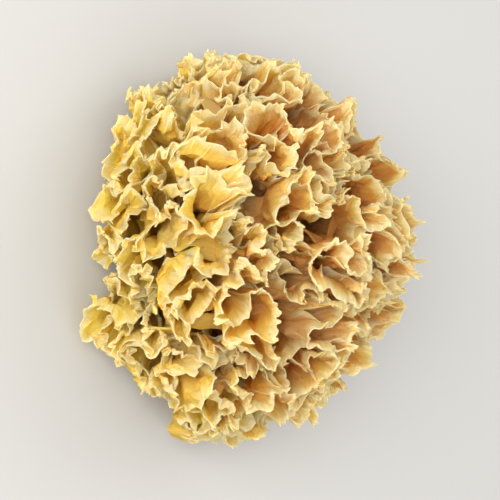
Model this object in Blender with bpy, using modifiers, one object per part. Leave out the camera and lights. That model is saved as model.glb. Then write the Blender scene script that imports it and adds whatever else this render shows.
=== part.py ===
"""One dried head of snow fungus, in metres, +Z up, standing on its cut base.

The head is a knob-shaped base with branching fronds that fan out from it. The fronds stand in whorls
round the upright axis. Each one is a thin sheet that leaves the base along a short foot, turns outward
and then up, and folds more and more towards its crisp margin, so that the margins meet in a dome.
"""

import math
import random

import bmesh
import bpy
import numpy as np

SEED = 21

# The dome that the margins reach: half its width, its height over its centre, and the centre's height.
DOME_RADIUS = 0.0345
DOME_RISE = 0.0315
DOME_CENTRE_Z = 0.0125
DOME_STRETCH_X = 1.03
DOME_STRETCH_Y = 0.95
DOME_TILT_RANGE = math.radians(98)
# Its broad bulges: size, how many there are round it and where the first one is.
DOME_BULGES = ((0.030, 2, 0.6), (0.035, 3, 2.2))

# The base that the fronds grow from, cut flat at z = 0.
BASE_RADIUS = 0.0120
BASE_RISE = 0.0080
BASE_CENTRE_Z = 0.0030
BASE_SEGMENTS = 24
BASE_RINGS = 12
BASE_LUMP = 0.05
BASE_LUMPS = 5
BASE_LUMP_TWIST = 4
SHARP_ANGLE = math.radians(50)
FOOT_GAP = 0.0008
FOOT_TILT_RANGE = math.radians(92)

# How far a growth line sags outward before it rises.
BEND_OUT = 0.62
BEND_UP = 0.30
SAG = 0.0040

# An uneven wave is three plain ones: the size of each, and its waves for each wave of the first.
WAVE_PARTS = ((0.50, 1.0), (0.32, 1.73), (0.22, 2.91))

# The sheets: their thickness, and the grid of points over each one. The rows nearer the foot have a
# share of the margin's points, and the number of columns divides evenly into those shares.
ROOT_THICKNESS = 0.0013
MARGIN_THICKNESS = 0.0009
COLUMN_WIDTH = 0.0023
ROW_HEIGHTS = (0.0, 0.38, 0.72, 1.0)
ROW_SHARES = (0.25, 0.5, 1.0, 1.0)
COLUMNS_STEP = 4
LENGTH_SAMPLES = 200
BAND_CLEARANCE = 0.0013
END_CLEARANCE = 0.0015
NARROWEST_WHORL = 0.004

# The in-and-out folds: their width, and how their size, roundness, spacing and lean vary.
FOLD_WIDTH = 0.0092
FOLD_GROWTH = 1.1
FOLD_ROUNDNESS = 0.55
FOLD_UNEVEN = 0.9
FOLD_UNEVEN_WAVES = 2.2
FOLD_LEAN = 1.6
FOLD_LEAN_WAVES = 1.1

# The ends of a frond lap its neighbours', one inside and one outside.
END_LAP = 0.14
END_LAP_GROWTH = 1.7
END_LAP_STEP = 0.55
END_LAP_STEP_AT_FOOT = 0.65
END_LAP_FLATTENING = 0.62
END_LAP_WIDTH = 1.3

# The margin drops towards both ends of a frond and is notched, and some fronds are taller.
SHORTEST = 0.92
TALLEST = 1.05
END_DROP = 0.20
CREST_NOTCH = 0.0016
CREST_WAVES = 6.0

# Side lobes stand in the hollows of the folds and part them into pockets.
LOBE_FOOT_ROW = 2
LOBE_STEPS = (0.5, 1.0)
LOBE_LENGTH = 1.25
LOBE_RISE = 0.12
LOBE_DROP = 0.06
LOBE_CURL = 0.12
LOBE_LEAST_TURN = 0.8
LOBE_MOST_LAP = 0.3

# A whorl is a name, its inner and outer edge as a share of the way down the dome, and its fronds.
WHORLS = (
    ("heart", 0.0, 0.15, 1),
    ("inner", 0.15, 0.31, 3),
    ("upper", 0.31, 0.48, 4),
    ("middle", 0.48, 0.65, 4),
    ("lower", 0.65, 0.82, 5),
    ("outer", 0.82, 1.0, 6),
)
CUT_UNEVEN = 0.16

# Slow swirls that keep the whorls from being true circles: size, waves across, phase and direction.
SWIRLS = (
    (0.060, 4.6, 0.7, 0.3),
    (0.050, 5.9, 2.1, 1.5),
    (0.035, 8.3, 4.0, 2.5),
)

FROND_COLOUR = (0.80, 0.62, 0.33, 1.0)
FROND_ROUGHNESS = 0.5
BASE_COLOUR = (0.55, 0.32, 0.10, 1.0)
BASE_ROUGHNESS = 0.8


def clear_scene():
    for obj in list(bpy.data.objects):
        bpy.data.objects.remove(obj, do_unlink=True)


def plain_material(name, colour, roughness):
    material = bpy.data.materials.new(name)
    material.use_nodes = True
    shader = material.node_tree.nodes["Principled BSDF"]
    shader.inputs["Base Color"].default_value = colour
    shader.inputs["Roughness"].default_value = roughness
    shader.inputs["Metallic"].default_value = 0.0
    return material


def wobble(x, phases):
    """A smooth irregular wave between about -1 and 1, with three unrelated wavelengths."""
    return sum(size * np.sin(waves * x + phase) for (size, waves), phase in zip(WAVE_PARTS, phases))


def swirl(x, y, height):
    """Shears the plan sideways by a little, more with height. Lines that don't cross stay apart."""
    for size, waves, phase, direction in SWIRLS:
        along = (math.cos(direction), math.sin(direction))
        across = x * -along[1] + y * along[0]
        push = size * height * np.sin(waves * across + phase)
        x = x + push * along[0]
        y = y + push * along[1]
    return x, y


def head_point(share, angle, height):
    """The point at a share of the way down the dome, an angle round it and a height from foot to margin."""
    x, y = swirl(share * np.cos(angle), share * np.sin(angle), height)
    share = np.hypot(x, y)
    angle = np.arctan2(y, x)
    foot_tilt = share * FOOT_TILT_RANGE
    foot_out = (BASE_RADIUS + FOOT_GAP) * np.sin(foot_tilt)
    foot_z = BASE_CENTRE_Z + (BASE_RISE + FOOT_GAP) * np.cos(foot_tilt)
    uneven = 1 + sum(size * np.sin(count * angle + phase) for size, count, phase in DOME_BULGES)
    tip_tilt = share * DOME_TILT_RANGE
    tip_out = DOME_RADIUS * uneven * np.sin(tip_tilt)
    tip_z = DOME_CENTRE_Z + DOME_RISE * uneven * np.cos(tip_tilt)
    bend_out = foot_out + BEND_OUT * (tip_out - foot_out)
    bend_z = foot_z + BEND_UP * (tip_z - foot_z) - SAG * share**2
    near = (1 - height) ** 2
    middle = 2 * height * (1 - height)
    far = height**2
    out = near * foot_out + middle * bend_out + far * tip_out
    z = near * foot_z + middle * bend_z + far * tip_z
    return np.stack(
        [DOME_STRETCH_X * out * np.cos(angle), DOME_STRETCH_Y * out * np.sin(angle), z],
        axis=-1,
    )


class Frond:
    """Where one frond lies: a stretch of its whorl's band, with folds that fill the band at the margin."""

    def __init__(self, inner, outer, start, end, rng):
        arc = DOME_RADIUS * DOME_TILT_RANGE
        self.middle = (inner + outer) / 2
        self.swing = (outer - inner) / 2 - BAND_CLEARANCE / arc
        around = max(DOME_RADIUS * math.sin(self.middle * DOME_TILT_RANGE), NARROWEST_WHORL)
        trim = END_CLEARANCE / around
        self.start = start + trim
        self.end = end - trim
        self.folds = max(1.0, around * (self.end - self.start) / FOLD_WIDTH)
        self.first_fold = rng.uniform(0, 2 * math.pi)
        self.lobe_side = rng.choice((-1, 1))
        self.tallness = rng.uniform(SHORTEST, TALLEST)
        self.lean_phases = [rng.uniform(0, 2 * math.pi) for _ in WAVE_PARTS]
        self.fold_phases = [rng.uniform(0, 2 * math.pi) for _ in WAVE_PARTS]
        self.crest_phases = [rng.uniform(0, 2 * math.pi) for _ in WAVE_PARTS]

    def lap(self, u):
        """-1 at the end that lies inside its neighbour, 1 at the end that lies outside, 0 between."""
        return np.clip((u - 0.5) / (0.5 - END_LAP_WIDTH * END_LAP), -1, 1) ** 3

    def crest(self, u):
        """How far towards the dome the margin reaches: highest mid-frond, lower at both ends, notched."""
        notch = CREST_NOTCH / DOME_RISE * wobble(CREST_WAVES * self.folds * u, self.crest_phases)
        return self.tallness - END_DROP * np.abs(2 * u - 1) ** 3 + notch

    def turn(self, u, height):
        """How far round its in-and-out folds the sheet is, in radians."""
        turn = 2 * math.pi * self.folds * u + self.first_fold
        turn = turn + FOLD_UNEVEN * wobble(FOLD_UNEVEN_WAVES * self.folds * u, self.fold_phases)
        return turn + FOLD_LEAN * height * wobble(FOLD_LEAN_WAVES * self.folds * u, self.lean_phases)

    def point(self, u, v, lobe=0.0):
        """A point on the sheet: u from end to end, v from foot to margin.

        lobe is how far out of the sheet the point lies, along the side lobe that starts at this u.
        """
        height = v * self.crest(u)
        growth = np.clip(height, 0, 1) ** FOLD_GROWTH
        turn = self.turn(u, height)
        lap = self.lap(u)
        step = END_LAP_STEP * (END_LAP_STEP_AT_FOOT + (1 - END_LAP_STEP_AT_FOOT) * height)
        swing = self.swing * (1 - END_LAP_FLATTENING * np.abs(lap)) * growth
        share = self.middle + step * self.swing * lap + swing * np.sin(turn) * (1 - LOBE_LENGTH * lobe)
        fold_span = (self.end - self.start) / self.folds
        sway = FOLD_ROUNDNESS * fold_span / (2 * math.pi)
        across = u + END_LAP * np.clip(height, 0, 1) ** END_LAP_GROWTH * (2 * u - 1)
        angle = self.start + (self.end - self.start) * across - sway * growth * np.sin(2 * turn)
        angle = angle + self.lobe_side * LOBE_CURL * fold_span * lobe**2
        return head_point(share, angle, height)

    def lobe_columns(self, columns):
        """The columns at the folds' turns, where a side lobe can stand clear of the folds' flanks."""
        u = np.linspace(0, 1, columns + 1)
        side = np.abs(np.sin(self.turn(u, self.crest(u))))
        return [
            j
            for j in range(2, columns - 1)
            if side[j] >= max(side[j - 1], side[j + 1], LOBE_LEAST_TURN)
            and abs(self.lap(u[j])) < LOBE_MOST_LAP
        ]

    def margin_length(self):
        line = self.point(np.linspace(0, 1, LENGTH_SAMPLES), np.ones(LENGTH_SAMPLES))
        return float(np.linalg.norm(np.diff(line, axis=0), axis=1).sum())


def stitch(bm, low, high):
    """Triangles between two rows of points that hold different numbers of them."""
    i = 0
    j = 0
    while i < len(low) - 1 or j < len(high) - 1:
        low_next = (i + 1) / (len(low) - 1)
        high_next = (j + 1) / (len(high) - 1)
        if j == len(high) - 1 or (i < len(low) - 1 and low_next <= high_next):
            bm.faces.new((low[i], low[i + 1], high[j]))
            i += 1
        else:
            bm.faces.new((low[i], high[j + 1], high[j]))
            j += 1


def make_frond(name, frond, material, collection):
    columns = COLUMNS_STEP * round(frond.margin_length() / COLUMN_WIDTH / COLUMNS_STEP)
    bm = bmesh.new()
    weights = []
    rows = []
    for height, share in zip(ROW_HEIGHTS, ROW_SHARES):
        u = np.linspace(0, 1, int(columns * share) + 1)
        rows.append([bm.verts.new(p) for p in frond.point(u, np.full_like(u, height))])
        weights += [1 - height] * len(u)
    for low, high in zip(rows, rows[1:]):
        stitch(bm, low, high)
    for j in frond.lobe_columns(columns):
        low = rows[LOBE_FOOT_ROW][j]
        top = rows[-1][j]
        for step in LOBE_STEPS:
            foot = ROW_HEIGHTS[LOBE_FOOT_ROW] + LOBE_RISE * step
            next_low = bm.verts.new(frond.point(j / columns, foot, step))
            next_top = bm.verts.new(frond.point(j / columns, 1 - LOBE_DROP * step, step))
            weights += [1 - foot, 0]
            bm.faces.new((low, next_low, next_top, top))
            low = next_low
            top = next_top
    mesh = bpy.data.meshes.new(name)
    bm.to_mesh(mesh)
    bm.free()
    mesh.materials.append(material)
    mesh.shade_smooth()
    obj = bpy.data.objects.new(name, mesh)
    collection.objects.link(obj)
    group = obj.vertex_groups.new(name="thickness")
    for index, weight in enumerate(weights):
        group.add([index], weight, "REPLACE")
    shell = obj.modifiers.new("thickness", "SOLIDIFY")
    shell.solidify_mode = "NON_MANIFOLD"
    shell.nonmanifold_boundary_mode = "NONE"
    shell.nonmanifold_thickness_mode = "FIXED"
    shell.thickness = ROOT_THICKNESS
    shell.offset = 0
    shell.vertex_group = group.name
    shell.thickness_vertex_group = MARGIN_THICKNESS / ROOT_THICKNESS
    return obj


def make_base(material, collection):
    bm = bmesh.new()
    bmesh.ops.create_uvsphere(bm, u_segments=BASE_SEGMENTS, v_segments=BASE_RINGS, radius=1)
    for vert in bm.verts:
        x, y, z = vert.co
        angle = math.atan2(y, x)
        lumps = 0.5 + 0.5 * math.sin(BASE_LUMPS * angle + BASE_LUMP_TWIST * z)
        lump = 1 - BASE_LUMP * lumps * math.hypot(x, y)
        vert.co = (
            DOME_STRETCH_X * BASE_RADIUS * lump * x,
            DOME_STRETCH_Y * BASE_RADIUS * lump * y,
            BASE_CENTRE_Z + BASE_RISE * z,
        )
    cut = bmesh.ops.bisect_plane(
        bm,
        geom=bm.verts[:] + bm.edges[:] + bm.faces[:],
        plane_co=(0, 0, 0),
        plane_no=(0, 0, 1),
        clear_inner=True,
    )
    rim = [item for item in cut["geom_cut"] if isinstance(item, bmesh.types.BMEdge)]
    bmesh.ops.contextual_create(bm, geom=rim)
    bmesh.ops.recalc_face_normals(bm, faces=bm.faces[:])
    mesh = bpy.data.meshes.new("base")
    bm.to_mesh(mesh)
    bm.free()
    mesh.materials.append(material)
    mesh.shade_smooth()
    mesh.set_sharp_from_angle(angle=SHARP_ANGLE)
    obj = bpy.data.objects.new("base", mesh)
    collection.objects.link(obj)
    return obj


def fronds():
    """Every frond with its name, whorl by whorl, cut at uneven angles from a random first one."""
    rng = random.Random(SEED)
    made = []
    for whorl, inner, outer, count in WHORLS:
        turn = rng.uniform(0, 2 * math.pi)
        cuts = [turn + (k + CUT_UNEVEN * rng.uniform(-1, 1)) * 2 * math.pi / count for k in range(count)]
        cuts.append(cuts[0] + 2 * math.pi)
        for k in range(count):
            name = f"frond_{whorl}_{k + 1}" if count > 1 else f"frond_{whorl}"
            made.append((name, Frond(inner, outer, cuts[k], cuts[k + 1], rng)))
    return made


def main():
    clear_scene()
    collection = bpy.data.collections.new("snow_fungus")
    bpy.context.scene.collection.children.link(collection)
    frond_material = plain_material("frond", FROND_COLOUR, FROND_ROUGHNESS)
    base_material = plain_material("base", BASE_COLOUR, BASE_ROUGHNESS)
    make_base(base_material, collection)
    for name, frond in fronds():
        make_frond(name, frond, frond_material, collection)


main()
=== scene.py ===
import math
import random

import bmesh
import bpy
import numpy as np
from mathutils import Matrix, Vector


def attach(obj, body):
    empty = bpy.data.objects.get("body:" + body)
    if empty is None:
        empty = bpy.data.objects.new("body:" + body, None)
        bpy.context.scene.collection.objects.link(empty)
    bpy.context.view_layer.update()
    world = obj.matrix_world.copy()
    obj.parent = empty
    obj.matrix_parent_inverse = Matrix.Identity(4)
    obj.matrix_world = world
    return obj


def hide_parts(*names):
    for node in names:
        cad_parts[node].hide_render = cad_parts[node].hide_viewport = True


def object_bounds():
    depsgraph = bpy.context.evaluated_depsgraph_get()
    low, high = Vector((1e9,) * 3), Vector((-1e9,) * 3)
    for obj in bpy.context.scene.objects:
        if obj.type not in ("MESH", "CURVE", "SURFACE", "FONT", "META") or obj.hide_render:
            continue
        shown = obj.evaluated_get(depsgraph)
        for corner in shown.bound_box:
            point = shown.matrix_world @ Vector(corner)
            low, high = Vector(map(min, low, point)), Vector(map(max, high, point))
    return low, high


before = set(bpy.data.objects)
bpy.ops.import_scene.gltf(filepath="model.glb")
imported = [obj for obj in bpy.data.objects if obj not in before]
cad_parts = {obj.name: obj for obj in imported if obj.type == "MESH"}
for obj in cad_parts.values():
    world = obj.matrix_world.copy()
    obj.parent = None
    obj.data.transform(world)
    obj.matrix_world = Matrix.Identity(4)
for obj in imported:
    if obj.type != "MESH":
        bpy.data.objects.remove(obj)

CAD_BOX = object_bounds()

SEED = 21
TURN = 2 * math.pi

# The dome that the margins reach: half its width, its height over its centre, and the centre's height.
DOME_RADIUS = 0.0345
DOME_RISE = 0.0315
DOME_CENTRE_Z = 0.0125
DOME_STRETCH_X = 1.03
DOME_STRETCH_Y = 0.95
DOME_TILT_RANGE = math.radians(98)
# Its broad bulges: size, how many there are round it and where the first one is.
DOME_BULGES = ((0.030, 2, 0.6), (0.035, 3, 2.2))

# The base that the fronds grow from, cut flat at z = 0.
BASE_RADIUS = 0.0120
BASE_RISE = 0.0080
BASE_CENTRE_Z = 0.0030
FOOT_GAP = 0.0008
FOOT_TILT_RANGE = math.radians(92)

# How far a growth line sags outward before it rises.
BEND_OUT = 0.62
BEND_UP = 0.30
SAG = 0.0040

# An uneven wave is three plain ones: the size of each, and its waves for each wave of the first.
WAVE_PARTS = ((0.50, 1.0), (0.32, 1.73), (0.22, 2.91))

BAND_CLEARANCE = 0.0013
END_CLEARANCE = 0.0015
NARROWEST_WHORL = 0.004

# The in-and-out folds: their width, and how their size, roundness, spacing and lean vary.
FOLD_WIDTH = 0.0092
FOLD_GROWTH = 1.1
FOLD_ROUNDNESS = 0.55
FOLD_UNEVEN = 0.9
FOLD_UNEVEN_WAVES = 2.2
FOLD_LEAN = 1.6
FOLD_LEAN_WAVES = 1.1

# The ends of a frond lap its neighbours', one inside and one outside.
END_LAP = 0.14
END_LAP_GROWTH = 1.7
END_LAP_STEP = 0.55
END_LAP_STEP_AT_FOOT = 0.65
END_LAP_FLATTENING = 0.62
END_LAP_WIDTH = 1.3

# The margin drops towards both ends of a frond and is notched, and some fronds are taller.
SHORTEST = 0.92
TALLEST = 1.05
END_DROP = 0.20
CREST_NOTCH = 0.0016
CREST_WAVES = 6.0

# A whorl is a name, its inner and outer edge as a share of the way down the dome, and its fronds.
WHORLS = (
    ("heart", 0.0, 0.15, 1),
    ("inner", 0.15, 0.31, 3),
    ("upper", 0.31, 0.48, 4),
    ("middle", 0.48, 0.65, 4),
    ("lower", 0.65, 0.82, 5),
    ("outer", 0.82, 1.0, 6),
)
CUT_UNEVEN = 0.16

# Slow swirls that keep the whorls from being true circles: size, waves across, phase and direction.
SWIRLS = (
    (0.060, 4.6, 0.7, 0.3),
    (0.050, 5.9, 2.1, 1.5),
    (0.035, 8.3, 4.0, 2.5),
)

# One side of the head is yellower, with wide curled rims, and the other is more tan, with open pockets. The
# yellow is partly painted light on a brighter side, and the tan is partly painted shade in its hollows.
# Below are the way across, and where along it the first side ends and the second starts, in metres. Where a
# value below is for either side, it is a pair: the curled side's and the open side's.
ACROSS = (-0.26, 0.72, 0.64)
MIDDLE = (-0.004, 0.018)

# The growth is worked out in millimetres, first on a coarse grid of points over each sheet, then on one
# with twice as many columns and rows. The steps on either grid, the share of them in which it grows, the
# passes of a step, and the steps from one push apart to the next.
MM = 0.001
COARSE_COLUMNS = 89
COARSE_ROWS = 18
STEPS = (80, 24)
STEPS_GROWING = (0.6, 0.0)
PASSES = 2
PUSH_EVERY = 2
# How much longer the margin gets on either side, the height where the growth starts, how it gathers at the
# margin, the most of it, and how soon above its start the points are free to move.
GROWTH = (1.25, 0.75)
GROWTH_FROM = 0.35
GROWTH_POWER = 1.6
GROWTH_MOST = 1.05
FREEDOM = 3
# How far a point of the margin may wander on either grid, in millimetres.
REACH = (3.2, 3.5)
# How much of its way back to the formula's place a point goes in a step.
HOMING = (0.015, 0.004)
# How stiff a sheet is against stretching, shearing and, on either grid, bending.
STRETCH = 0.5
SHEAR = 0.12
BENDING = (0.15, 0.12)
EASING = 0.7
# The first ripples, which the growth makes larger: length and size in millimetres.
RIPPLES = ((6.5, 0.30), (4.2, 0.20))
RIPPLE_UNEVEN = 1.3
RIPPLE_SLANT = 2.0
# The cells that hold how crowded the head is and the room round it, in millimetres, and how hard crowded
# sheets push apart.
CELL = 0.8
CROWD_MARGIN = 4.0
BLURS = 2
PUSH = (0.08, 0.05)
PUSH_SOFTNESS = 0.08

# How much the growth varies along a frond, as a factor, and how many times it does.
GROWTH_RANGE = (0.65, 1.3)
GROWTH_SPANS = 7

# Drying draws the sheets nearly flat between creases that follow their sharpest bends.
CREASE_LEAST = 0.5
CREASE_UNEVEN = 0.35
CREASE_BLURS = 2
DRY_STEPS = 9
DRY_ALONG = 0.75
DRY_UP = 0.25
DRY_RAMP = 2.5
# How much drier some stretches are than others.
DRYNESS = (0.15, 1.0)
DRYNESS_SPANS = 9
# Crumples bend everything at the same place in space the same way: length and size in millimetres, how many
# waves there are of each, how their lengths vary, and how they rise with the height: factor and offset.
CRUMPLES = ((13.0, 1.1), (6.5, 0.65), (3.2, 0.48), (1.8, 0.26))
CRUMPLE_WAVES = 6
CRUMPLE_RANGE = (0.8, 1.25)
CRUMPLE_RAMP = (1.6, 0.35)

# The rim curls over, here to the front and there to the back: how far on either side of the head, over how
# much of the sheet, how often, and how full the curls are.
CURL = (1.9, 0.8)
CURL_DEPTH = 3.4
CURL_LENGTH = 6.0
CURL_POWER = 0.6

# The rim stands up at the creases and sags between them, in millimetres, over so many rows of the sheet. The
# creases are read in CREASE_ROW, counted from the rim.
CREASE_ROW = -3
RIM_PEAK = (-0.45, 1.3)
RIM_PEAK_RARITY = 1.8
RIM_SAG = (0.02, 0.34)
RIM_SWELL = 1.9
RIM_SWELL_LENGTH = 8.0
RIM_ROWS = 8.0
RIM_EASE = 1.5
LEAST_ROW_STEP = 0.3

# Small frills along the rim and finer pleats that run further down: a factor for either side, and then the
# size, the range of lengths, the depth below the rim and the distance over which they change. Then how far
# the rim is torn down or stands up, over which length, and its fine nibbles and spikes.
FRILL_SIDES = (1.7, 0.75)
FRILLS = ((0.75, (1.7, 3.8), 3.0, 4.0), (0.26, (1.0, 1.9), 5.5, 3.0))
FRILL_EASE = 1.4
TEAR = (-0.55, 0.55)
TEAR_LENGTH = 2.0
TEAR_DEPTH = 1.8
TORN_SPAN = 5.0
RIM_NIBBLE = 0.55
SPIKE = (0.9, 1.8)
SPIKE_SHARE = 0.12

# Cross walls close the pockets. Each goes from a crease, or from the middle of a wide face, to the nearest
# sheet in front of it. WALL_ROW is the row where they are planned. Then come their points, how far they
# reach, how straight ahead, how many columns apart, the share of creases that have one, and their shape.
WALL_ROW = 31
WALL_FIRST_ROW = 13
WALL_LEAST_COLUMNS = 3
WALL_STEP = 0.6
WALL_ROWS = 10
WALL_SPACING = 3.3
WALL_REACH = (0.7, 5.5)
WALL_AHEAD = 0.6
WALL_APART = 3
WALL_SHARE = (0.95, 0.7)
WALL_UNEVEN = 0.3
WALL_BOW = 0.28
WALL_TWIST = 0.4
WALL_BOW_AT_FOOT = 0.4
WALL_SAG = (0.50, 0.24)
WALL_LEAST_SAG = 0.06
WALL_GAP = 0.02

# Floors close the pockets deep down: the row where they join the sheets on either side and how uneven it is,
# the columns between two of their points, their own rows, and over how many columns the way to the next
# sheet is taken. Then how straight ahead and how far they reach, their most jump and fewest steps, the
# height that sets their thickness and the depth that sets their tone.
FLOOR_ROW = (28, 26)
FLOOR_UNEVEN = 3.0
FLOOR_SPANS = 12
FLOOR_STEP = 2
FLOOR_ROWS = 5
FLOOR_FACING = 16
FLOOR_AHEAD = 0.8
FLOOR_REACH = 9.0
FLOOR_JUMP = 4.5
FLOOR_LEAST = 3
FLOOR_HEIGHT = 0.6
# This depth picks the floors' deep amber from the sheet tones, partly painted shade deep in the pockets.
FLOOR_DEPTH = (5.0, 7.7)

# The finished sheets: the most distance between two points along the margin and the rows, which lie
# closer towards the margin, and the thickness from root to margin in millimetres.
MOST_SPACING = 0.42
SHEET_ROWS = 23
ROW_POWER = 1.4
THICKNESS = (0.7, 0.25)
THINNING_POWER = 0.7
RIM_THINNING = 0.65
SHARP_ANGLE = math.radians(38)

# What sets one sheet's noise apart from the next one's, and a random curve's points for each value.
NOISE_STEP = 17.0
CURVE_POINTS = 6

# The visible knob covers the fronds' feet, with lumps of size, count round it, twist and phase.
KNOB_COVER = 0.0006
KNOB_RADIUS = BASE_RADIUS + FOOT_GAP + KNOB_COVER
KNOB_RISE = BASE_RISE + FOOT_GAP + KNOB_COVER
KNOB_SEGMENTS = 160
KNOB_RINGS = 96
KNOB_LUMPS = ((0.030, 5, 4, 0.0), (0.020, 9, 9, 1.3), (0.012, 17, 14, 2.9), (0.008, 31, 23, 0.7))
KNOB_SHARP_ANGLE = math.radians(50)
# How far beyond the frame's box the visible head may reach, as a factor, and where it starts to be drawn in.
BOX_ROOM = 1.022
BOX_KNEE = 0.90

# The camera and the lights. Each light's place is out from the head towards the camera, to the right and
# up in the picture, in metres, and then its size and power.
CAMERA_AZIMUTH = 20.0
CAMERA_ELEVATION = 50.0
CAMERA_DISTANCE = 0.45
CAMERA_LENS = 175.0
CAMERA_AIM = (0.0, 0.0, 0.022)
# How far the aim is moved to the right and up in the picture.
CAMERA_SLIDE = (-0.0045, 0.0)
LIGHTS = (
    ("key", (0.32, -0.34, 0.18), 0.30, 1.25),
    ("front", (0.50, -0.08, 0.04), 0.30, 1.5),
    ("fill", (0.40, 0.30, -0.30), 0.5, 0.4),
    ("rim", (0.10, 0.50, 0.20), 0.35, 0.5),
)
WORLD_STRENGTH = 0.84
GROUND_SIZE = 3.0
GROUND_TONE = (198, 196, 192)

# The sheets' tones from the rim down, pale cream at the rim and deeper amber below. The deep tones are
# partly the root's own amber and partly painted shade down in the pockets. Then how far below the rim the
# last one is, in millimetres, and how much slow noise moves them up and down.
SHEET_TONES_AND_PAINTED_SHADE = (
    (0.0, (250, 241, 182)),
    (0.14, (248, 234, 148)),
    (0.34, (247, 217, 119)),
    (0.66, (249, 196, 100)),
    (1.0, (248, 180, 78)),
)
DEEPEST = 11.0
TONE_UNEVEN = 0.36
PATCH_TONE = (236, 213, 158)
SPECK_TONE = (206, 140, 66)
# The yellow, partly painted light on the brighter side, and the tan, partly painted shade in the hollows.
# For each: where it is full and where it is gone, along the way across the head in metres, the most of it,
# its tone, and how far below the rim it is full, in millimetres, or None for all over.
YELLOW_AND_PAINTED_LIGHT = (-0.010, 0.012, 0.85, (253, 236, 118), None)
TAN_AND_PAINTED_SHADE = (0.036, 0.002, 0.75, (230, 178, 116), 4.5)
SIDE_UNEVEN = 0.03
# The pale rim: its tone, how far noise moves its lower edge, how far the edge is raised again and over how
# far it fades, in millimetres.
RIM_TONE = (252, 247, 214)
RIM_RAGGED = 9.0
RIM_RAISED = 4.2
RIM_FADE = 2.6
# Veins run up the sheets, and the relief has more of the crinkles than of the veins and the grain.
VEIN_STRETCH = (1.0, 0.16, 1.0)
CRINKLE_RELIEF = 1.2
# The share of light that comes through a sheet, and the gamma that makes its tone paler.
LIGHT_THROUGH = 0.6
THROUGH_GAMMA = 0.75
KNOB_TONES = ((0.30, (110, 62, 24)), (0.55, (176, 112, 48)), (0.75, (214, 158, 84)))


def wobble(x, phases):
    """A smooth irregular wave between about -1 and 1, with three unrelated wavelengths."""
    return sum(size * np.sin(waves * x + phase) for (size, waves), phase in zip(WAVE_PARTS, phases))


def swirl(x, y, height):
    """Shears the plan sideways by a little, more with height. Lines that don't cross stay apart."""
    for size, waves, phase, direction in SWIRLS:
        along = (math.cos(direction), math.sin(direction))
        across = x * -along[1] + y * along[0]
        push = size * height * np.sin(waves * across + phase)
        x = x + push * along[0]
        y = y + push * along[1]
    return x, y


def head_point(share, angle, height):
    """The point at a share of the way down the dome, an angle round it and a height from foot to margin."""
    x, y = swirl(share * np.cos(angle), share * np.sin(angle), height)
    share = np.hypot(x, y)
    angle = np.arctan2(y, x)
    foot_tilt = share * FOOT_TILT_RANGE
    foot_out = (BASE_RADIUS + FOOT_GAP) * np.sin(foot_tilt)
    foot_z = BASE_CENTRE_Z + (BASE_RISE + FOOT_GAP) * np.cos(foot_tilt)
    uneven = 1 + sum(size * np.sin(count * angle + phase) for size, count, phase in DOME_BULGES)
    tip_tilt = share * DOME_TILT_RANGE
    tip_out = DOME_RADIUS * uneven * np.sin(tip_tilt)
    tip_z = DOME_CENTRE_Z + DOME_RISE * uneven * np.cos(tip_tilt)
    bend_out = foot_out + BEND_OUT * (tip_out - foot_out)
    bend_z = foot_z + BEND_UP * (tip_z - foot_z) - SAG * share**2
    near = (1 - height) ** 2
    middle = 2 * height * (1 - height)
    far = height**2
    out = near * foot_out + middle * bend_out + far * tip_out
    z = near * foot_z + middle * bend_z + far * tip_z
    return np.stack([DOME_STRETCH_X * out * np.cos(angle), DOME_STRETCH_Y * out * np.sin(angle), z], -1)


class Frond:
    """Where one frond lies: a stretch of its whorl's band, with folds that fill the band at the margin."""

    def __init__(self, inner, outer, start, end, rng):
        arc = DOME_RADIUS * DOME_TILT_RANGE
        self.middle = (inner + outer) / 2
        self.swing = (outer - inner) / 2 - BAND_CLEARANCE / arc
        around = max(DOME_RADIUS * math.sin(self.middle * DOME_TILT_RANGE), NARROWEST_WHORL)
        trim = END_CLEARANCE / around
        self.start = start + trim
        self.end = end - trim
        self.folds = max(1.0, around * (self.end - self.start) / FOLD_WIDTH)
        self.first_fold = rng.uniform(0, TURN)
        self.lobe_side = rng.choice((-1, 1))
        self.tallness = rng.uniform(SHORTEST, TALLEST)
        phases = [[rng.uniform(0, TURN) for _ in WAVE_PARTS] for _ in range(3)]
        self.lean_phases, self.fold_phases, self.crest_phases = phases

    def lap(self, u):
        """-1 at the end that lies inside its neighbour, 1 at the end that lies outside, 0 between."""
        return np.clip((u - 0.5) / (0.5 - END_LAP_WIDTH * END_LAP), -1, 1) ** 3

    def crest(self, u):
        """How far towards the dome the margin reaches: highest mid-frond, lower at both ends, notched."""
        notch = CREST_NOTCH / DOME_RISE * wobble(CREST_WAVES * self.folds * u, self.crest_phases)
        return self.tallness - END_DROP * np.abs(2 * u - 1) ** 3 + notch

    def turn(self, u, height):
        """How far round its in-and-out folds the sheet is, in radians."""
        turn = TURN * self.folds * u + self.first_fold
        turn = turn + FOLD_UNEVEN * wobble(FOLD_UNEVEN_WAVES * self.folds * u, self.fold_phases)
        return turn + FOLD_LEAN * height * wobble(FOLD_LEAN_WAVES * self.folds * u, self.lean_phases)

    def point(self, u, v):
        """A point on the sheet: u from end to end, v from foot to margin."""
        height = v * self.crest(u)
        growth = np.clip(height, 0, 1) ** FOLD_GROWTH
        turn = self.turn(u, height)
        lap = self.lap(u)
        step = END_LAP_STEP * (END_LAP_STEP_AT_FOOT + (1 - END_LAP_STEP_AT_FOOT) * height)
        swing = self.swing * (1 - END_LAP_FLATTENING * np.abs(lap)) * growth
        share = self.middle + step * self.swing * lap + swing * np.sin(turn)
        fold_span = (self.end - self.start) / self.folds
        sway = FOLD_ROUNDNESS * fold_span / TURN
        across = u + END_LAP * np.clip(height, 0, 1) ** END_LAP_GROWTH * (2 * u - 1)
        angle = self.start + (self.end - self.start) * across - sway * growth * np.sin(2 * turn)
        return head_point(share, angle, height)


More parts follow.
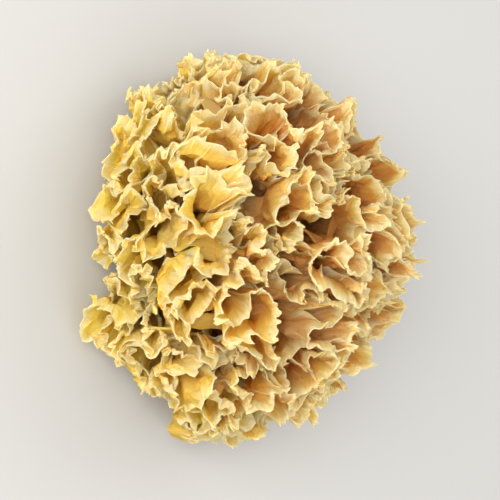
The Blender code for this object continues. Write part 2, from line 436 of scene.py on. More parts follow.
def fronds():
    """Every frond with its name, whorl by whorl, cut at uneven angles from a random first one."""
    rng = random.Random(SEED)
    made = []
    for whorl, inner, outer, count in WHORLS:
        turn = rng.uniform(0, TURN)
        cuts = [turn + (k + CUT_UNEVEN * rng.uniform(-1, 1)) * TURN / count for k in range(count)]
        cuts.append(cuts[0] + TURN)
        for k in range(count):
            name = f"frond_{whorl}_{k + 1}" if count > 1 else f"frond_{whorl}"
            made.append((name, Frond(inner, outer, cuts[k], cuts[k + 1], rng)))
    return made


def norm(v):
    return np.linalg.norm(v, axis=-1)


def unit(v):
    return v / np.maximum(norm(v)[..., None], 1e-9)


def grid_normals(points):
    """The unit normal at each point of sheets that are grids of shape (..., columns, rows, 3)."""
    return unit(np.cross(np.gradient(points, axis=-3), np.gradient(points, axis=-2)))


# The neighbours along the columns, up the rows and across the squares of the sheets, as pairs of slices.
ALONG = (np.s_[:, :-1, :], np.s_[:, 1:, :])
UP = (np.s_[:, :, :-1], np.s_[:, :, 1:])
RISING = (np.s_[:, :-1, :-1], np.s_[:, 1:, 1:])
FALLING = (np.s_[:, 1:, :-1], np.s_[:, :-1, 1:])


def lengths(points, pair):
    return norm(points[pair[1]] - points[pair[0]]).astype(np.float32)


def pull(points, change, pair, rest, stiffness):
    """Adds to change what brings each pair of points towards its rest length."""
    apart = points[pair[1]] - points[pair[0]]
    length = norm(apart) + 1e-9
    half = (0.5 * stiffness * (1 - rest / length))[..., None] * apart
    change[pair[0]] += half
    change[pair[1]] -= half


def straighten(points, change, axis, bending):
    """Adds to change what takes the bend out of each row of three points along an axis."""
    points, change = np.moveaxis(points, axis, 0), np.moveaxis(change, axis, 0)
    bend = bending * (points[:-2] - 2 * points[1:-1] + points[2:])
    change[1:-1] += 0.5 * bend
    change[:-2] -= 0.25 * bend
    change[2:] -= 0.25 * bend


class Crowd:
    """Cells over the head that say how much sheet is near each of them."""

    def __init__(self, points):
        points = points.reshape(-1, 3)
        self.low = points.min(0) - CROWD_MARGIN
        self.shape = np.ceil((points.max(0) + CROWD_MARGIN - self.low) / CELL).astype(int) + 1

    def corners(self, points):
        """The eight cells round each point, and the share of the point that each one gets."""
        place = (points.reshape(-1, 3) - self.low) / CELL
        cell = np.clip(np.floor(place).astype(np.int32), 0, self.shape - 2)
        part = (place - cell).astype(np.float32)
        found = []
        for corner in np.ndindex(2, 2, 2):
            share = np.prod(np.where(corner, part, 1 - part), axis=1)
            at = cell + corner
            found.append(((at[:, 0] * self.shape[1] + at[:, 1]) * self.shape[2] + at[:, 2], share))
        return found

    def amount(self, points, area):
        """How much sheet there is in each cell, blurred over its neighbours."""
        count = int(np.prod(self.shape))
        total = np.zeros(count)
        for at, share in self.corners(points):
            total += np.bincount(at, weights=share * area.reshape(-1) / CELL**3, minlength=count)
        total = total.reshape(self.shape).astype(np.float32)
        for axis in range(3):
            for _ in range(BLURS):
                total = 0.5 * total + 0.25 * (np.roll(total, 1, axis) + np.roll(total, -1, axis))
        return total

    def slope(self, points, amount):
        """The way to the more crowded side, at each point."""
        slopes = np.stack(np.gradient(amount), axis=-1).reshape(-1, 3)
        total = np.zeros((points.size // 3, 3), np.float32)
        for at, share in self.corners(points):
            total += share[:, None] * slopes[at]
        return total.reshape(points.shape)


def square_area(points):
    along, up = (norm(np.gradient(points, axis=axis)) for axis in (1, 2))
    return along * up


def grow(points, home, grown, ramp, level, crowd):
    """Lets the sheets' columns get as much longer as grown says, and pushes crowded sheets apart.

    home is where the formula has the points, ramp is 0 where they are held and 1 at the margin, and level is
    0 on the coarse grid and 1 on the fine one.
    """
    points = points.astype(np.float32)
    home = home.astype(np.float32)
    free = np.clip(FREEDOM * ramp, 0, 1)[..., None].astype(np.float32)
    reach = (REACH[level] * ramp)[..., None].astype(np.float32)
    along, up, rising, falling = (lengths(home, pair) for pair in (ALONG, UP, RISING, FALLING))
    more = 0.5 * (grown[:, 1:] + grown[:, :-1]) - 1
    area = square_area(home) * grown
    for step in range(STEPS[level]):
        so_far = min(1.0, (step + 1) / max(STEPS_GROWING[level] * STEPS[level], 1))
        longer = (1 + more * so_far).astype(np.float32)
        slanted = 1 + 0.5 * (longer[:, :, 1:] - 1)
        for _ in range(PASSES):
            change = np.zeros_like(points)
            pull(points, change, ALONG, along * longer, STRETCH)
            pull(points, change, UP, up, STRETCH)
            pull(points, change, RISING, rising * slanted, SHEAR)
            pull(points, change, FALLING, falling * slanted, SHEAR)
            for axis in (1, 2):
                straighten(points, change, axis, BENDING[level])
            points += EASING * change * free
        if step % PUSH_EVERY == 0:
            slope = crowd.slope(points, crowd.amount(points, area))
            size = norm(slope)[..., None]
            points -= PUSH[level] * slope / (size + PUSH_SOFTNESS) * free
        away = points - home
        away -= HOMING[level] * away * free
        far = norm(away)[..., None]
        points = home + away * np.minimum(1, reach / np.maximum(far, 1e-6))
    return points


def first_ripples(points, ramp, rng):
    """Sheets with small uneven ripples along their columns, larger towards the margin."""
    run = np.cumsum(lengths(points, ALONG), axis=1)
    run = np.concatenate([np.zeros_like(run[:, :1]), run], axis=1)
    up = np.linspace(0, 1, points.shape[2])
    each = (len(points), 1, 1)
    total = np.zeros(points.shape[:3])
    for length, size in RIPPLES:
        slant = rng.uniform(-RIPPLE_SLANT, RIPPLE_SLANT, each) * up
        sway = RIPPLE_UNEVEN * np.sin(run / length + rng.uniform(0, TURN, each))
        phase = rng.uniform(0, TURN, each)
        total += size * np.sin(TURN * run / length + phase + slant + sway)
    return points + (total * ramp)[..., None] * grid_normals(points)


def doubled(grid, axis):
    """Twice the points along an axis, by a cubic curve through them."""
    grid = np.moveaxis(grid, axis, 0)
    padded = np.concatenate([2 * grid[:1] - grid[1:2], grid, 2 * grid[-1:] - grid[-2:-1]])
    halfway = (9 * (padded[1:-2] + padded[2:-1]) - padded[:-3] - padded[3:]) / 16
    out = np.empty((2 * len(grid) - 1,) + grid.shape[1:])
    out[::2] = grid
    out[1::2] = halfway
    return np.moveaxis(out, 0, axis)


def growth_ramp(height):
    """0 below the height where the growth starts, and 1 at the margin."""
    return np.clip((height - GROWTH_FROM) / (1 - GROWTH_FROM), 0, GROWTH_MOST)


def growth_plan(made, columns, rows, uneven):
    """The formula's points in millimetres, their heights and ramp, and how much longer each column gets."""
    u = np.linspace(0, 1, columns)[:, None]
    v = np.linspace(0, 1, rows)
    home = np.stack([frond.point(u, v) for _, frond in made]) / MM
    height = np.stack([v * frond.crest(u) for _, frond in made])
    ramp = growth_ramp(height)
    more = between(GROWTH, openness(home)) * slow_noise(uneven, columns)[..., None]
    return home, height, ramp, 1 + more * ramp**GROWTH_POWER


def grown_sheets(made):
    """Every frond's grown sheet as one grid of points in millimetres, with the height at each."""
    rng = np.random.default_rng(SEED)
    uneven = rng.uniform(*GROWTH_RANGE, (len(made), GROWTH_SPANS))
    home, _, ramp, grown = growth_plan(made, COARSE_COLUMNS, COARSE_ROWS, uneven)
    crowd = Crowd(home)
    coarse = grow(first_ripples(home, ramp**GROWTH_POWER, rng), home, grown, ramp, 0, crowd)
    moved = doubled(doubled(coarse - home, 1), 2)
    home, height, ramp, grown = growth_plan(made, 2 * COARSE_COLUMNS - 1, 2 * COARSE_ROWS - 1, uneven)
    return grow(home + moved, home, grown, ramp, 1, crowd), height


def smooth_blend(x):
    return x * x * (3 - 2 * x)


def slow_noise(values, count):
    """A smooth curve of count points through a few random values."""
    # It ends just short of the last value, so that there is always a next one.
    place = np.linspace(0, values.shape[-1] - 1.001, count)
    low = np.floor(place).astype(int)
    part = smooth_blend(place - low)
    return values[..., low] * (1 - part) + values[..., low + 1] * part


def run_along(line):
    """How far along a line each of its points is."""
    return np.concatenate([[0], np.cumsum(norm(np.diff(line, axis=0)))])


def varied(along, span, low, high, rng):
    """A smooth random curve between low and high along a rim, with a new value every span."""
    values = rng.uniform(low, high, max(int(along[-1] / span), 2) + 1)
    fine = CURVE_POINTS * len(values)
    return np.interp(along, np.linspace(0, along[-1], fine), slow_noise(values, fine))


def openness(points):
    """0 on the side of the head with curled rims, 1 on the one with open pockets."""
    place = points @ np.array(ACROSS) * MM
    return smooth_blend(np.clip((place - MIDDLE[0]) / (MIDDLE[1] - MIDDLE[0]), 0, 1))


def between(pair, share):
    return pair[0] + (pair[1] - pair[0]) * share


def creases(points, rng):
    """Where the sheets bend most along their columns, as 1 on a crease and 0 off it."""
    bend = np.zeros(points.shape[:3])
    bend[:, 1:-1] = norm(points[:, 2:] - 2 * points[:, 1:-1] + points[:, :-2])
    for _ in range(CREASE_BLURS):
        bend[:, :, 1:-1] = 0.5 * bend[:, :, 1:-1] + 0.25 * (bend[:, :, 2:] + bend[:, :, :-2])
    bend *= 1 + CREASE_UNEVEN * rng.normal(size=(bend.shape[0], bend.shape[1], 1))
    least = CREASE_LEAST * bend.mean(axis=1, keepdims=True)
    found = np.zeros_like(bend)
    middle = bend[:, 1:-1]
    found[:, 1:-1] = (middle > bend[:, :-2]) & (middle >= bend[:, 2:]) & (middle > least)
    found[:, [0, -1]] = 1
    return found


def dried(points, height, rng):
    """The sheets drawn nearly flat between their creases, and the creases."""
    found = creases(points, rng)
    points = points.astype(float)
    dryness = slow_noise(rng.uniform(*DRYNESS, (len(points), DRYNESS_SPANS)), points.shape[1])
    give = ((1 - found) * np.clip(DRY_RAMP * growth_ramp(height), 0, 1) * dryness[..., None])[..., None]
    for _ in range(DRY_STEPS):
        move = np.zeros_like(points)
        move[:, 1:-1] += DRY_ALONG * (0.5 * (points[:, 2:] + points[:, :-2]) - points[:, 1:-1])
        move[:, :, 1:-1] += DRY_UP * (0.5 * (points[:, :, 2:] + points[:, :, :-2]) - points[:, :, 1:-1])
        points += move * give
    return points, found


def rim_profile(found, along, rng):
    """How far each column's rim stands above or below the margin: peaks at creases, sags between."""
    at = np.flatnonzero(found)
    peaks = between(RIM_PEAK, rng.uniform(0, 1, len(at)) ** RIM_PEAK_RARITY)
    profile = np.interp(np.arange(len(found)), at, peaks)
    profile += varied(along, RIM_SWELL_LENGTH, -RIM_SWELL, RIM_SWELL, rng)
    for a, b in zip(at[:-1], at[1:]):
        span = along[b] - along[a]
        part = (along[a : b + 1] - along[a]) / max(span, 1e-6)
        profile[a : b + 1] -= rng.uniform(*RIM_SAG) * span * 4 * part * (1 - part)
    return profile


def at_rows(grid, places):
    """A sheet's grid read at fractional rows, each column at its own."""
    low = np.clip(np.floor(places).astype(int), 0, grid.shape[1] - 2)
    part = (places - low)[..., None]
    column = np.arange(len(grid))[:, None]
    return grid[column, low] * (1 - part) + grid[column, low + 1] * part


def line_at(line, places):
    """One column of a sheet read at fractional rows, once for each line of places."""
    return at_rows(np.broadcast_to(line, (len(places), *line.shape)), places)


def rimmed(points, height, profile):
    """The sheet with its rim moved by the profile, by stretching or drawing in the rows nearest to it."""
    rows = height.shape[1]
    step = norm(points[:, -1] - points[:, -3]) / 2
    row = np.arange(rows)[None, :]
    move = profile[:, None] * np.clip(1 - (rows - 1 - row) / RIM_ROWS, 0, 1) ** RIM_EASE
    place = np.maximum(row + move / np.maximum(step, LEAST_ROW_STEP)[:, None], 0)
    return at_rows(points, place), at_rows(height[..., None], place)[..., 0]


def wall_starts(line, found, rng):
    """The columns where walls may start: creases, and the middle of each wide face between two of them."""
    along = run_along(line)
    at = list(np.flatnonzero(found))
    share = between(WALL_SHARE, openness(line))
    starts = [(c, True) for c in at[1:-1] if rng.uniform() < share[c]]
    for a, b in zip(at[:-1], at[1:]):
        span = along[b] - along[a]
        extra = int(span / WALL_SPACING)
        for k in range(extra):
            part = (k + 1 + WALL_UNEVEN * rng.uniform(-1, 1)) / (extra + 1)
            column = np.interp(along[a] + part * span, along, np.arange(len(along)))
            starts.append((int(column), False))
    return sorted(starts)


def cross_walls(points, height, found, rng):
    """Walls from the sheets to those before them: points, height, and the frond each one grows from."""
    line = points[:, :, WALL_ROW]
    count, columns = line.shape[:2]
    flat = line.reshape(-1, 3)
    sheet_of = np.repeat(np.arange(count), columns)
    column_of = np.tile(np.arange(columns), count)
    bend = np.zeros_like(line)
    bend[:, 1:-1] = line[:, 2:] - 2 * line[:, 1:-1] + line[:, :-2]
    normals = grid_normals(points)[:, :, WALL_ROW]
    last = points.shape[2] - 1
    up = np.linspace(0, 1, WALL_ROWS)[None, :]
    walls = []
    for f in range(count):
        before = -WALL_APART
        for c, creased in wall_starts(line[f], found[f, :, WALL_ROW], rng):
            way = -unit(bend[f, c]) if creased else normals[f, c] * rng.choice((-1, 1))
            if c - before < WALL_APART:
                continue
            apart = flat - line[f, c]
            distance = norm(apart)
            good = (apart @ way > WALL_AHEAD * distance) & (distance > WALL_REACH[0])
            good &= (distance < WALL_REACH[1]) & ~((sheet_of == f) & (np.abs(column_of - c) < WALL_APART))
            if not good.any():
                continue
            before = c
            hit = np.argmin(np.where(good, distance, np.inf))
            g, d = sheet_of[hit], column_of[hit]
            across = np.linspace(0, 1, WALL_LEAST_COLUMNS + int(distance[hit] / WALL_STEP))[:, None]
            most = between(WALL_SAG, openness(line[f, c]))
            sag = rng.uniform(WALL_LEAST_SAG, most) * np.sin(math.pi * across)
            places = WALL_FIRST_ROW + (last - WALL_FIRST_ROW) * up * (1 - sag)
            one = line_at(points[f, c], places)
            other = line_at(points[g, d], places)
            span = other - one
            side = unit(np.cross(span[0], one[0, -1] - one[0, 0]))
            bow = WALL_BOW * rng.uniform(-1, 1) * distance[hit]
            near_height = line_at(height[f, c][:, None], places)[..., 0]
            inset = (0.5 * sheet_thickness(near_height) + WALL_GAP) / distance[hit]
            part = (inset + (1 - 2 * inset) * across)[..., None]
            curve = np.sin(math.pi * across) + WALL_TWIST * rng.uniform(-1, 1) * np.sin(TURN * across)
            push = bow * curve * (WALL_BOW_AT_FOOT + (1 - WALL_BOW_AT_FOOT) * up)
            walls.append((one + span * part + side * push[..., None], near_height, f))
    return walls


def pocket_floors(points, rng):
    """Webs that join each sheet to the next one outside it, deep in the pockets, as the walls are given."""
    count, columns = points.shape[:2]
    row = between(FLOOR_ROW, openness(points[:, :, FLOOR_ROW[0]]))
    row = row + FLOOR_UNEVEN * slow_noise(rng.uniform(-1, 1, (count, FLOOR_SPANS)), columns)
    line = np.stack([at_rows(sheet, places[:, None])[:, 0] for sheet, places in zip(points, row)])
    facing = np.cumsum(grid_normals(points)[:, :, FLOOR_ROW[1]], axis=1)
    at = np.arange(0, columns, FLOOR_STEP)
    wide = facing[:, np.minimum(at + FLOOR_FACING, columns - 1)]
    wide = wide - facing[:, np.maximum(at - FLOOR_FACING, 0)]
    across = np.linspace(0, 1, FLOOR_ROWS)[None, :, None]
    floors = []
    for f in range(count):
        way = unit(wide[f])
        start = line[f, at]
        if np.sum(way[:, :2] * start[:, :2]) < 0:
            way = -way
        others = np.delete(line, f, axis=0).reshape(-1, 3)
        apart = others[None] - start[:, None]
        distance = norm(apart)
        good = np.einsum("ijk,ik->ij", apart, way) > FLOOR_AHEAD * distance
        hit = np.argmin(np.where(good, distance, np.inf), axis=1)
        reach = np.where(good.any(axis=1), distance[np.arange(len(at)), hit], np.inf)
        end = others[hit]
        step = norm(np.diff(end, axis=0))
        joined = (reach[1:] < FLOOR_REACH) & (reach[:-1] < FLOOR_REACH) & (step < FLOOR_JUMP)
        first = 0
        for k in range(len(at)):
            if k < len(joined) and joined[k]:
                continue
            if k - first >= FLOOR_LEAST:
                floor = between((start[first : k + 1, None], end[first : k + 1, None]), across)
                floors.append((floor, np.full(floor.shape[:2], FLOOR_HEIGHT), f))
            first = k + 1
    return floors


def crumple_waves(rng):
    """Plane waves in space, as wave vector, phase and the way that each one moves a point."""
    waves = []
    for length, size in CRUMPLES:
        for _ in range(CRUMPLE_WAVES):
            wave = unit(rng.normal(size=3)) * TURN / (length * rng.uniform(*CRUMPLE_RANGE))
            way = unit(rng.normal(size=3)) * size / math.sqrt(0.5 * CRUMPLE_WAVES)
            waves.append((wave, rng.uniform(0, TURN), way))
    return waves


def crumpled(points, height, waves):
    """The sheet bent by the crumples, more towards the margin."""
    move = sum(np.sin(points @ wave + phase)[..., None] * way for wave, phase, way in waves)
    return points + np.clip(CRUMPLE_RAMP[0] * height - CRUMPLE_RAMP[1], 0, 1)[..., None] * move


def below_rim(points):
    """How far each point of a sheet is below its rim, along the sheet."""
    steps = norm(np.diff(points, axis=-2))
    down = np.cumsum(steps[..., ::-1], axis=-1)[..., ::-1]
    return np.concatenate([down, np.zeros_like(down[..., :1])], axis=-1)


def curled(points, along, rng):
    """A sheet with its rim curled over, here to one side and there to the other."""
    curl = varied(along, CURL_LENGTH, -1, 1, rng)
    curl = between(CURL, openness(points[:, -1])) * np.sign(curl) * np.abs(curl) ** CURL_POWER
    near = np.clip(1 - below_rim(points) / CURL_DEPTH, 0, 1) ** 2
    return points + (curl[:, None] * near)[..., None] * grid_normals(points)


def frilled(points, rng):
    """A sheet with small frills along its rim, and with the rim torn into fine points."""
    along = run_along(points[:, -1])
    down = below_rim(points)
    for size, limits, depth, span in FRILLS:
        length = varied(along, span, *limits, rng)
        turn = TURN * np.cumsum(np.gradient(along) / length)
        push = size * between(FRILL_SIDES, openness(points[:, -1])) * varied(along, span, 0, 1, rng)
        push *= np.sin(turn)
        near = np.clip(1 - down / depth, 0, 1) ** FRILL_EASE
        points = points + (push[:, None] * near)[..., None] * grid_normals(points)
    torn = varied(along, TORN_SPAN, 0, 1, rng) ** 2
    spike = rng.uniform(0, 1, len(along)) * (rng.uniform(0, 1, len(along)) < SPIKE_SHARE)
    spike *= between(SPIKE, openness(points[:, -1]))
    tear = varied(along, TEAR_LENGTH, *TEAR, rng)
    tear += torn * (spike - RIM_NIBBLE * rng.uniform(0, 1, len(along)) ** 2)
    near = np.clip(1 - down / TEAR_DEPTH, 0, 1)
    rise = unit(points[:, -1] - points[:, -4])
    return points + (tear[:, None] * near)[..., None] * rise[:, None]


def within(points):
    """The points drawn in softly where they come near the most that the frame's box leaves them."""
    points = points.copy()
    for axis in range(3):
        for side, limit in ((-1, CAD_BOX[0][axis]), (1, CAD_BOX[1][axis])):
            if side == -1 and axis == 2:
                continue
            limit = abs(limit) / MM * BOX_ROOM
            knee = BOX_KNEE * limit
            beyond = np.maximum(side * points[..., axis] - knee, 0)
            room = limit - knee
            points[..., axis] += side * (room * (1 - np.exp(-beyond / room)) - beyond)
    return points


def spaced(grid, places, axis):
    """The grid read at fractional places along an axis, by straight lines between its points."""
    low = np.clip(np.floor(places).astype(int), 0, grid.shape[axis] - 2)
    part = (places - low).reshape([-1 if a == axis else 1 for a in range(grid.ndim)])
    return np.take(grid, low, axis) * (1 - part) + np.take(grid, low + 1, axis) * part


def shell(points, thickness):
    """The closed thin body round a sheet: points and four-cornered faces, front, back and edges."""
    count = thickness.size
    offset = 0.5 * thickness[..., None] * grid_normals(points)
    both = np.concatenate([(points + offset).reshape(-1, 3), (points - offset).reshape(-1, 3)])
    index = np.arange(count).reshape(thickness.shape)
    front = np.stack([index[:-1, :-1], index[1:, :-1], index[1:, 1:], index[:-1, 1:]], -1).reshape(-1, 4)
    edge = np.concatenate([index[:, 0], index[-1, 1:], index[-2::-1, -1], index[0, -2:0:-1]])
    following = np.roll(edge, -1)
    rim = np.stack([following, edge, edge + count, following + count], -1)
    return both, np.concatenate([front, front[:, ::-1] + count, rim])


def sheet_thickness(height):
    """Thick at the root, thin at the margin."""
    return between(THICKNESS, np.clip(height, 0, 1) ** THINNING_POWER)


def added(name, data):
    """A new object of the scene."""
    thing = bpy.data.objects.new(name, data)
    bpy.context.scene.collection.objects.link(thing)
    return thing


def frond_mesh(name, parts, material):
    """One mesh of several shells, each given as points, height and flow over the sheet."""
    vertices, faces, flows = [], [], []
    count = 0
    for points, height, flow in parts:
        thickness = sheet_thickness(height)
        thickness[:, -1] *= RIM_THINNING
        both, quads = shell(points, thickness)
        vertices.append(both)
        faces.append(quads + count)
        flows += [flow.reshape(-1, 3)] * 2
        count += len(both)
    mesh = bpy.data.meshes.new(name)
    corners = np.concatenate(faces)
    mesh.vertices.add(count)
    mesh.vertices.foreach_set("co", (np.concatenate(vertices) * MM).astype(np.float32).reshape(-1))
    mesh.loops.add(corners.size)
    mesh.loops.foreach_set("vertex_index", corners.reshape(-1).astype(np.int32))
    mesh.polygons.add(len(corners))
    mesh.polygons.foreach_set("loop_start", np.arange(0, corners.size, 4, dtype=np.int32))
    mesh.update(calc_edges=True)
    mesh.validate()
    mesh.shade_smooth()
    mesh.set_sharp_from_angle(angle=SHARP_ANGLE)
    flow = mesh.attributes.new("flow", "FLOAT_VECTOR", "POINT")
    flow.data.foreach_set("vector", np.concatenate(flows).astype(np.float32).reshape(-1))
    mesh.materials.append(material)
    return added(name, mesh)


def flow_over(points, number, is_floor):
    """Distance along the sheet and down from its rim in millimetres, and a number for the sheet."""
    # On a floor, down is a set depth that gives it the deep tones, partly painted shade.
    down = between(FLOOR_DEPTH, openness(points)) if is_floor else below_rim(points)
    along = run_along(points[:, -1])[:, None] * np.ones_like(down)
    return np.stack([along, down, np.full_like(down, NOISE_STEP * number)], -1)


def make_fronds(material):
    made = fronds()
    points, height = grown_sheets(made)
    rng = np.random.default_rng(SEED + 3)
    points, found = dried(points, height, rng)
    for f in range(len(made)):
        along = run_along(points[f, :, -1])
        profile = rim_profile(found[f, :, CREASE_ROW], along, rng)
        sheet, height[f] = rimmed(points[f], height[f], profile)
        points[f] = curled(sheet, along, rng)
    walls = cross_walls(points, height, found, rng)
    floors = pocket_floors(points, rng)
    waves = crumple_waves(rng)
    rows = (points.shape[2] - 1) * (1 - np.linspace(1, 0, SHEET_ROWS) ** ROW_POWER)
    steps = points.shape[1] - 1
    for f, (name, _) in enumerate(made):
        finer = 2 if run_along(points[f, :, -1])[-1] / steps > MOST_SPACING else 1
        places = np.linspace(0, steps, finer * steps + 1)
        sheet, sheet_height = (spaced(spaced(grid[f], places, 0), rows, 1) for grid in (points, height))
        parts = [(frilled(sheet, rng), sheet_height, False)]
        for joins, is_floor in ((walls, False), (floors, True)):
            parts += [(one, one_height, is_floor) for one, one_height, parent in joins if parent == f]
        ready = []
        for number, (one, one_height, is_floor) in enumerate(parts):
            one = within(crumpled(one, one_height, waves))
            ready.append((one, one_height, flow_over(one, 3 * f + number, is_floor)))
        piece = frond_mesh(name + "_sheet", ready, material)
        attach(piece, "root")
        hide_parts(name)


def srgb(tone):
    """A colour given as it looks, 0 to 255, for a shader."""
    parts = [c / 255 for c in tone]
    return [c / 12.92 if c <= 0.04045 else ((c + 0.055) / 1.055) ** 2.4 for c in parts] + [1.0]


class Material:
    """A new material, with short ways to add nodes to it. A value is a number, a colour or an output."""

    def __init__(self, name):
        self.material = bpy.data.materials.new(name)
        self.material.use_nodes = True
        self.nodes = self.material.node_tree.nodes
        self.shader = self.nodes["Principled BSDF"]

    def plug(self, value, socket):
        if isinstance(value, bpy.types.NodeSocket):
            self.material.node_tree.links.new(value, socket)
        else:
            socket.default_value = value

    def fill(self, node, **values):
        """Gives the node's inputs their values. An underscore stands for the space in an input's name."""
        for name, value in values.items():
            self.plug(value, node.inputs[name.replace("_", " ")])
        return node

    def add(self, kind, **values):
        return self.fill(self.nodes.new("ShaderNode" + kind), **values)

    def noise(self, vector, scale, detail=4.0):
        return self.add("TexNoise", Vector=vector, Scale=scale, Detail=detail).outputs["Fac"]

    def ramp(self, value, *stops):
        """The colour that a ramp with stops of (place, colour) gives a value."""
        ramp = self.add("ValToRGB", Fac=value)
        elements = ramp.color_ramp.elements
        while len(elements) < len(stops):
            elements.new(0.5)
        for element, (place, colour) in zip(elements, stops):
            element.position = place
            element.color = colour
        return ramp.outputs["Color"]

    def calc(self, operation, *values, clamp=False):
        """The output of a math node of one to three values."""
        node = self.nodes.new("ShaderNodeMath")
        node.operation = operation
        node.use_clamp = clamp
        for value, socket in zip(values, node.inputs):
            self.plug(value, socket)
        return node.outputs[0]

    def mix(self, factor, first, second, blend="MIX"):
        """The output of a mix of two colours. Its colour inputs are the seventh and the eighth."""
        node = self.nodes.new("ShaderNodeMix")
        node.data_type = "RGBA"
        node.blend_type = blend
        for value, at in ((factor, 0), (first, 6), (second, 7)):
            self.plug(value, node.inputs[at])
        return node.outputs[2]

    def bump(self, height, strength, distance):
        return self.add("Bump", Height=height, Strength=strength, Distance=distance).outputs["Normal"]


def grey(value):
    return (value, value, value, 1)


def tones(stops):
    return [(place, srgb(tone)) for place, tone in stops]


def frond_material():
    """Thin horn-like sheets: amber at the root, straw higher up and cream at the rim, with painted shade in
    part of the deeper tones and the tan side, and painted light in part of the yellow side.
    """
    mat = Material("frond_sheet")
    attribute = mat.add("Attribute")
    attribute.attribute_name = "flow"
    flow = attribute.outputs["Vector"]
    down = mat.add("SeparateXYZ", Vector=flow).outputs["Y"]
    place = mat.add("TexCoord").outputs["Object"]
    mottle = mat.calc("MULTIPLY_ADD", mat.noise(place, 170.0), TONE_UNEVEN, -0.5 * TONE_UNEVEN)
    # The tone deepens with depth below the rim: partly the root's own amber, partly painted shade in the
    # pockets.
    depth = mat.calc("ADD", mat.calc("MULTIPLY", down, 1 / DEEPEST), mottle)
    colour = mat.ramp(depth, *tones(SHEET_TONES_AND_PAINTED_SHADE))
    # Slow patches of a paler, less yellow tan.
    patches = mat.noise(place, 75.0, 2.0)
    patch = mat.ramp(patches, (0.46, grey(0)), (0.64, grey(0.7)))
    colour = mat.mix(patch, colour, srgb(PATCH_TONE))
    # One side is a deeper yellow and the other is more tan.
    across = mat.nodes.new("ShaderNodeVectorMath")
    across.operation = "DOT_PRODUCT"
    mat.plug(place, across.inputs[0])
    mat.plug(ACROSS, across.inputs[1])
    uneven = mat.calc("MULTIPLY_ADD", patches, SIDE_UNEVEN, -0.5 * SIDE_UNEVEN)
    # One side is a deeper yellow, partly painted light, and the other is more tan, partly painted shade deep
    # in its pockets.
    side = mat.calc("ADD", across.outputs["Value"], uneven)
    # The yellow lightens one side as painted light, and the tan darkens the other side's hollows as painted
    # shade.
    for full, gone, most, tone, full_depth in (YELLOW_AND_PAINTED_LIGHT, TAN_AND_PAINTED_SHADE):
        slope = most / (full - gone)
        near = mat.calc("MULTIPLY_ADD", side, slope, -most * gone / (full - gone), clamp=True)
        amount = mat.calc("MINIMUM", near, most)
        if full_depth:
            below = mat.calc("MULTIPLY", down, 1 / full_depth, clamp=True)
            amount = mat.calc("MULTIPLY", amount, below)
        colour = mat.mix(amount, colour, srgb(tone))
    # Small specks are a darker amber.
    speck = mat.ramp(mat.noise(place, 520.0, 2.0), (0.66, grey(0)), (0.74, grey(0.6)))
    colour = mat.mix(speck, colour, srgb(SPECK_TONE))
    # The rim dries pale.
    edge = mat.calc("MULTIPLY_ADD", mat.noise(flow, 0.35), -RIM_RAGGED, down)
    edge = mat.calc("MULTIPLY_ADD", edge, 1 / RIM_FADE, RIM_RAISED / RIM_FADE)
    colour = mat.mix(mat.ramp(edge, (0.0, grey(0.9)), (1.0, grey(0))), colour, srgb(RIM_TONE))
    veins = mat.add("Mapping", Vector=flow, Scale=VEIN_STRETCH).outputs["Vector"]
    veins = mat.noise(veins, 1.1, 3.0)
    streak = mat.ramp(veins, (0.36, (0.92, 0.87, 0.76, 1)), (0.62, grey(1)))
    colour = mat.mix(1.0, colour, streak, "MULTIPLY")
    crinkles = mat.add("TexNoise", Vector=flow, Scale=0.8, Detail=3.0)
    crinkles.noise_type = "RIDGED_MULTIFRACTAL"
    mat.fill(crinkles, Distortion=0.6)
    relief = mat.calc("ADD", veins, mat.noise(flow, 2.6, 5.0))
    relief = mat.calc("MULTIPLY_ADD", crinkles.outputs["Fac"], CRINKLE_RELIEF, relief)
    mat.shader.subsurface_method = "BURLEY"
    mat.fill(
        mat.shader,
        Base_Color=colour,
        Normal=mat.bump(relief, 0.5, 0.0004),
        Roughness=0.40,
        Subsurface_Weight=0.85,
        Subsurface_Radius=(1.0, 0.6, 0.22),
        Subsurface_Scale=0.0009,
        IOR=1.45,
    )
    # Light also comes through the sheets, paler than what they throw back.
    paler = mat.add("Gamma", Color=colour, Gamma=THROUGH_GAMMA).outputs["Color"]
    glow = mat.add("BsdfTranslucent", Color=paler)
    both = mat.add("MixShader", Fac=LIGHT_THROUGH)
    mat.plug(mat.shader.outputs["BSDF"], both.inputs[1])
    mat.plug(glow.outputs["BSDF"], both.inputs[2])
    mat.plug(both.outputs["Shader"], mat.nodes["Material Output"].inputs["Surface"])
    return mat.material


def base_material():
    """Rough brown blotches."""
    mat = Material("base_knob")
    place = mat.add("TexCoord").outputs["Object"]
    mat.fill(
        mat.shader,
        Base_Color=mat.ramp(mat.noise(place, 220.0, 6.0), *tones(KNOB_TONES)),
        Normal=mat.bump(mat.noise(place, 900.0, 6.0), 0.7, 0.0006),
        Roughness=0.72,
        Subsurface_Weight=0.3,
        Subsurface_Radius=(1.0, 0.5, 0.2),
        Subsurface_Scale=0.002,
    )
    return mat.material


def built(name, bm, material):
    """A new object with a bmesh's points and faces, in an order that is the same each run."""
    points = sorted(tuple(vert.co) for vert in bm.verts)
    number = {point: at for at, point in enumerate(points)}
    faces = []
    for face in bm.faces:
        corners = [number[tuple(vert.co)] for vert in face.verts]
        first = corners.index(min(corners))
        faces.append(corners[first:] + corners[:first])
    bm.free()
    mesh = bpy.data.meshes.new(name)
    mesh.from_pydata(points, [], sorted(faces))
    mesh.materials.append(material)
    return added(name, mesh)


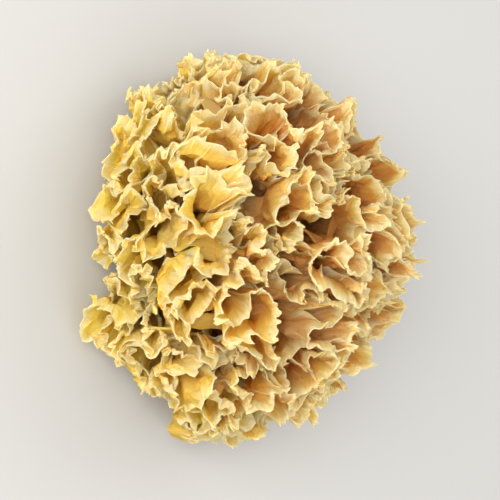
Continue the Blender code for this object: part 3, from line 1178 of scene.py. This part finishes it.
def make_base(material):
    """The knob that the fronds grow from, a little larger than its solid so that it takes in their feet."""
    bm = bmesh.new()
    bmesh.ops.create_uvsphere(bm, u_segments=KNOB_SEGMENTS, v_segments=KNOB_RINGS, radius=1)
    for vert in bm.verts:
        x, y, z = vert.co
        angle = math.atan2(y, x)
        side = math.hypot(x, y)
        lumps = sum(size * math.sin(n * angle + twist * z + phase) for size, n, twist, phase in KNOB_LUMPS)
        out = 1 + side * lumps
        vert.co.x = DOME_STRETCH_X * KNOB_RADIUS * out * x
        vert.co.y = DOME_STRETCH_Y * KNOB_RADIUS * out * y
        vert.co.z = BASE_CENTRE_Z + KNOB_RISE * z
    geom = bm.verts[:] + bm.edges[:] + bm.faces[:]
    cut = bmesh.ops.bisect_plane(bm, geom=geom, plane_co=(0, 0, 0), plane_no=(0, 0, 1), clear_inner=True)
    rim = [item for item in cut["geom_cut"] if isinstance(item, bmesh.types.BMEdge)]
    bmesh.ops.contextual_create(bm, geom=rim)
    bmesh.ops.recalc_face_normals(bm, faces=bm.faces[:])
    piece = built("base_knob", bm, material)
    piece.data.shade_smooth()
    piece.data.set_sharp_from_angle(angle=KNOB_SHARP_ANGLE)
    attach(piece, "root")
    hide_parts("base")


def make_floor():
    mat = Material("floor")
    mat.fill(mat.shader, Base_Color=srgb(GROUND_TONE), Roughness=0.85)
    bm = bmesh.new()
    bmesh.ops.create_grid(bm, x_segments=1, y_segments=1, size=GROUND_SIZE / 2)
    floor = built("floor", bm, mat.material)


def make_camera():
    """Looks down on the head, rolled so that the head's upright axis runs to the right of the picture."""
    turn = math.radians(CAMERA_AZIMUTH)
    rise = math.radians(CAMERA_ELEVATION)
    back = Vector((math.sin(turn) * math.cos(rise), -math.cos(turn) * math.cos(rise), math.sin(rise)))
    right = (Vector((0, 0, 1)) - back * back.z).normalized()
    up = back.cross(right)
    aim = Vector(CAMERA_AIM) + right * CAMERA_SLIDE[0] + up * CAMERA_SLIDE[1]
    data = bpy.data.cameras.new("camera")
    data.lens = CAMERA_LENS
    camera = added("camera", data)
    camera.matrix_world = Matrix((right, up, back)).transposed().to_4x4()
    camera.location = aim + back * CAMERA_DISTANCE
    bpy.context.scene.camera = camera
    return back, right, up


def make_stage():
    make_floor()
    back, right, up = make_camera()
    middle = Vector(CAMERA_AIM)
    for name, (out, across, above), size, power in LIGHTS:
        place = middle + back * out + right * across + up * above
        data = bpy.data.lights.new(name, "AREA")
        data.shape = "DISK"
        data.size = size
        data.energy = power
        light = added(name, data)
        light.location = place
        light.rotation_mode = "QUATERNION"
        light.rotation_quaternion = (middle - place).to_track_quat("-Z", "Y")
    world = bpy.data.worlds.new("studio")
    world.use_nodes = True
    light = world.node_tree.nodes["Background"].inputs
    light["Color"].default_value = (1, 1, 1, 1)
    light["Strength"].default_value = WORLD_STRENGTH
    bpy.context.scene.world = world
    bpy.context.scene.view_settings.view_transform = "Standard"


make_stage()
make_base(base_material())
make_fronds(frond_material())
